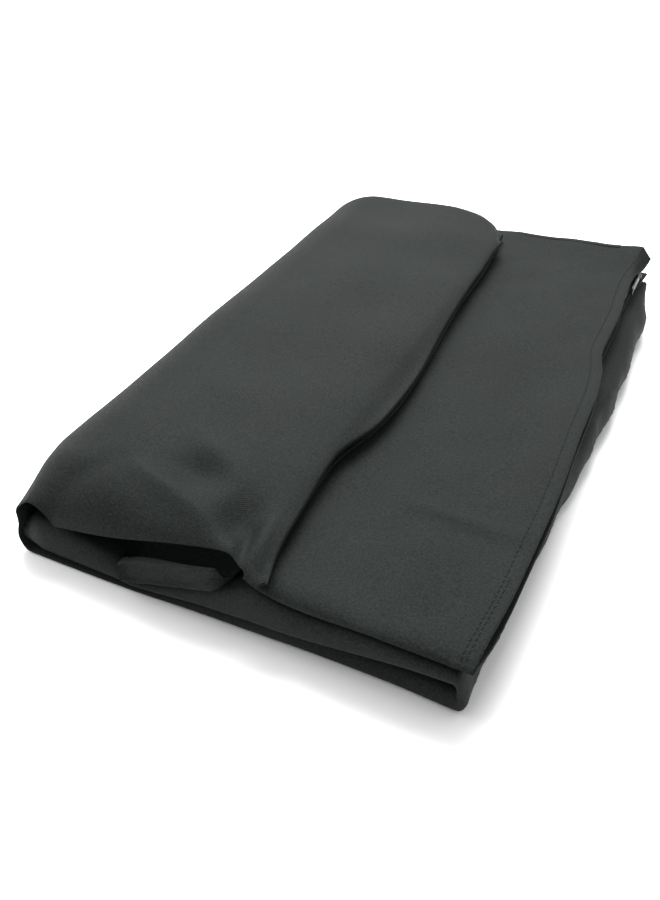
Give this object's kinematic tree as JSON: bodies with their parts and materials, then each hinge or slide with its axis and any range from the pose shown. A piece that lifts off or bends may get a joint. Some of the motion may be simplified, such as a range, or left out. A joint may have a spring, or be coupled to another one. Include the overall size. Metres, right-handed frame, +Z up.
{
  "type": "film changing bag",
  "caption": "Light-tight double fabric bag for handling film in daylight, folded into a flat stack with its sleeve end laid over the top.",
  "frame": {"origin": "centre of the folded stack's underside, at the middle of its bounding box", "axes": "+X towards the zipped hem, +Y along the fold away from the centre crease, +Z up"},
  "size_m": [0.215, 0.347, 0.046],
  "materials": {
    "outer_fabric": "black fine nylon twill with a soft sheen",
    "lining_fabric": "black coated light-tight cloth, nearly matt",
    "zip_tape": "black woven polyester tape",
    "zip_coil": "black nylon coil",
    "zip_metal": "black enamelled die-cast zinc",
    "zip_pull": "black enamelled steel",
    "elastic": "black braided elastic, matt"
  },
  "bodies": {
    "base_plies": {"bottom_ply_inner_back": "lining_fabric", "bottom_ply_inner_front": "lining_fabric", "bottom_ply_outer_back": "outer_fabric", "bottom_ply_outer_front": "outer_fabric", "bottom_ply_side_seams": "outer_fabric", "left_fold_lower": "outer_fabric", "middle_ply_inner_back": "lining_fabric", "middle_ply_inner_front": "lining_fabric", "middle_ply_outer_back": "outer_fabric", "middle_ply_outer_front": "outer_fabric", "middle_ply_side_seams": "outer_fabric", "right_fold_inner_layers": "lining_fabric", "right_fold_lining": "lining_fabric", "right_fold_outer": "outer_fabric"},
    "top_ply": {"inner_zip_back_coil": "zip_coil", "inner_zip_back_tape": "zip_tape", "inner_zip_front_coil": "zip_coil", "inner_zip_front_tape": "zip_tape", "inner_zip_stops": "zip_metal", "left_fold_nested": "lining_fabric", "outer_zip_back_coil": "zip_coil", "outer_zip_back_tape": "zip_tape", "outer_zip_front_coil": "zip_coil", "outer_zip_front_tape": "zip_tape", "outer_zip_stops": "zip_metal", "top_ply_inner_back": "lining_fabric", "top_ply_inner_front": "lining_fabric", "top_ply_outer_back": "outer_fabric", "top_ply_outer_front": "outer_fabric", "top_ply_side_seams": "outer_fabric"},
    "inner_zip_slider": {"inner_zip_pull_tab": "zip_pull", "inner_zip_slider_body": "zip_metal"},
    "sleeve_flap": {"left_cuff": "outer_fabric", "left_fold_upper": "outer_fabric", "left_forearm_elastic": "elastic", "left_sleeve_lining": "lining_fabric", "left_sleeve_outer": "outer_fabric", "left_wrist_elastic": "elastic", "right_cuff": "outer_fabric", "right_forearm_elastic": "elastic", "right_sleeve_lining": "lining_fabric", "right_sleeve_outer": "outer_fabric", "right_wrist_elastic": "elastic"},
    "outer_zip_pull": {"outer_zip_pull_tab": "zip_pull"},
    "outer_zip_slider": {"outer_zip_slider_body": "zip_metal"}
  },
  "joints": [
    {"name": "top_ply_fold", "type": "hinge", "parent": "base_plies", "child": "top_ply", "pos_m": [-0.1075, 0, 0.0232], "axis": [0, 1, 0], "range_deg": [-179, 0], "deforming": ["left_fold_nested"]},
    {"name": "sleeve_flap_fold", "type": "hinge", "parent": "top_ply", "child": "sleeve_flap", "pos_m": [-0.1075, 0, 0.0232], "axis": [0, -1, 0], "range_deg": [0, 179]},
    {"name": "outer_zip_slide", "type": "slide", "parent": "top_ply", "child": "outer_zip_slider", "axis": [0, -1, 0], "range_m": [0, 0.3], "deforming": ["outer_zip_front_coil", "outer_zip_back_coil", "outer_zip_front_tape", "outer_zip_back_tape"]},
    {"name": "outer_zip_pull_hinge", "type": "hinge", "parent": "outer_zip_slider", "child": "outer_zip_pull", "pos_m": [0.09395, 0.158, 0.0292], "axis": [0, 0, 1], "range_deg": [0, 180]},
    {"name": "inner_zip_slide", "type": "slide", "parent": "top_ply", "child": "inner_zip_slider", "axis": [0, -1, 0], "range_m": [0, 0.3], "deforming": ["inner_zip_front_coil", "inner_zip_back_coil", "inner_zip_front_tape", "inner_zip_back_tape"]}
  ]
}
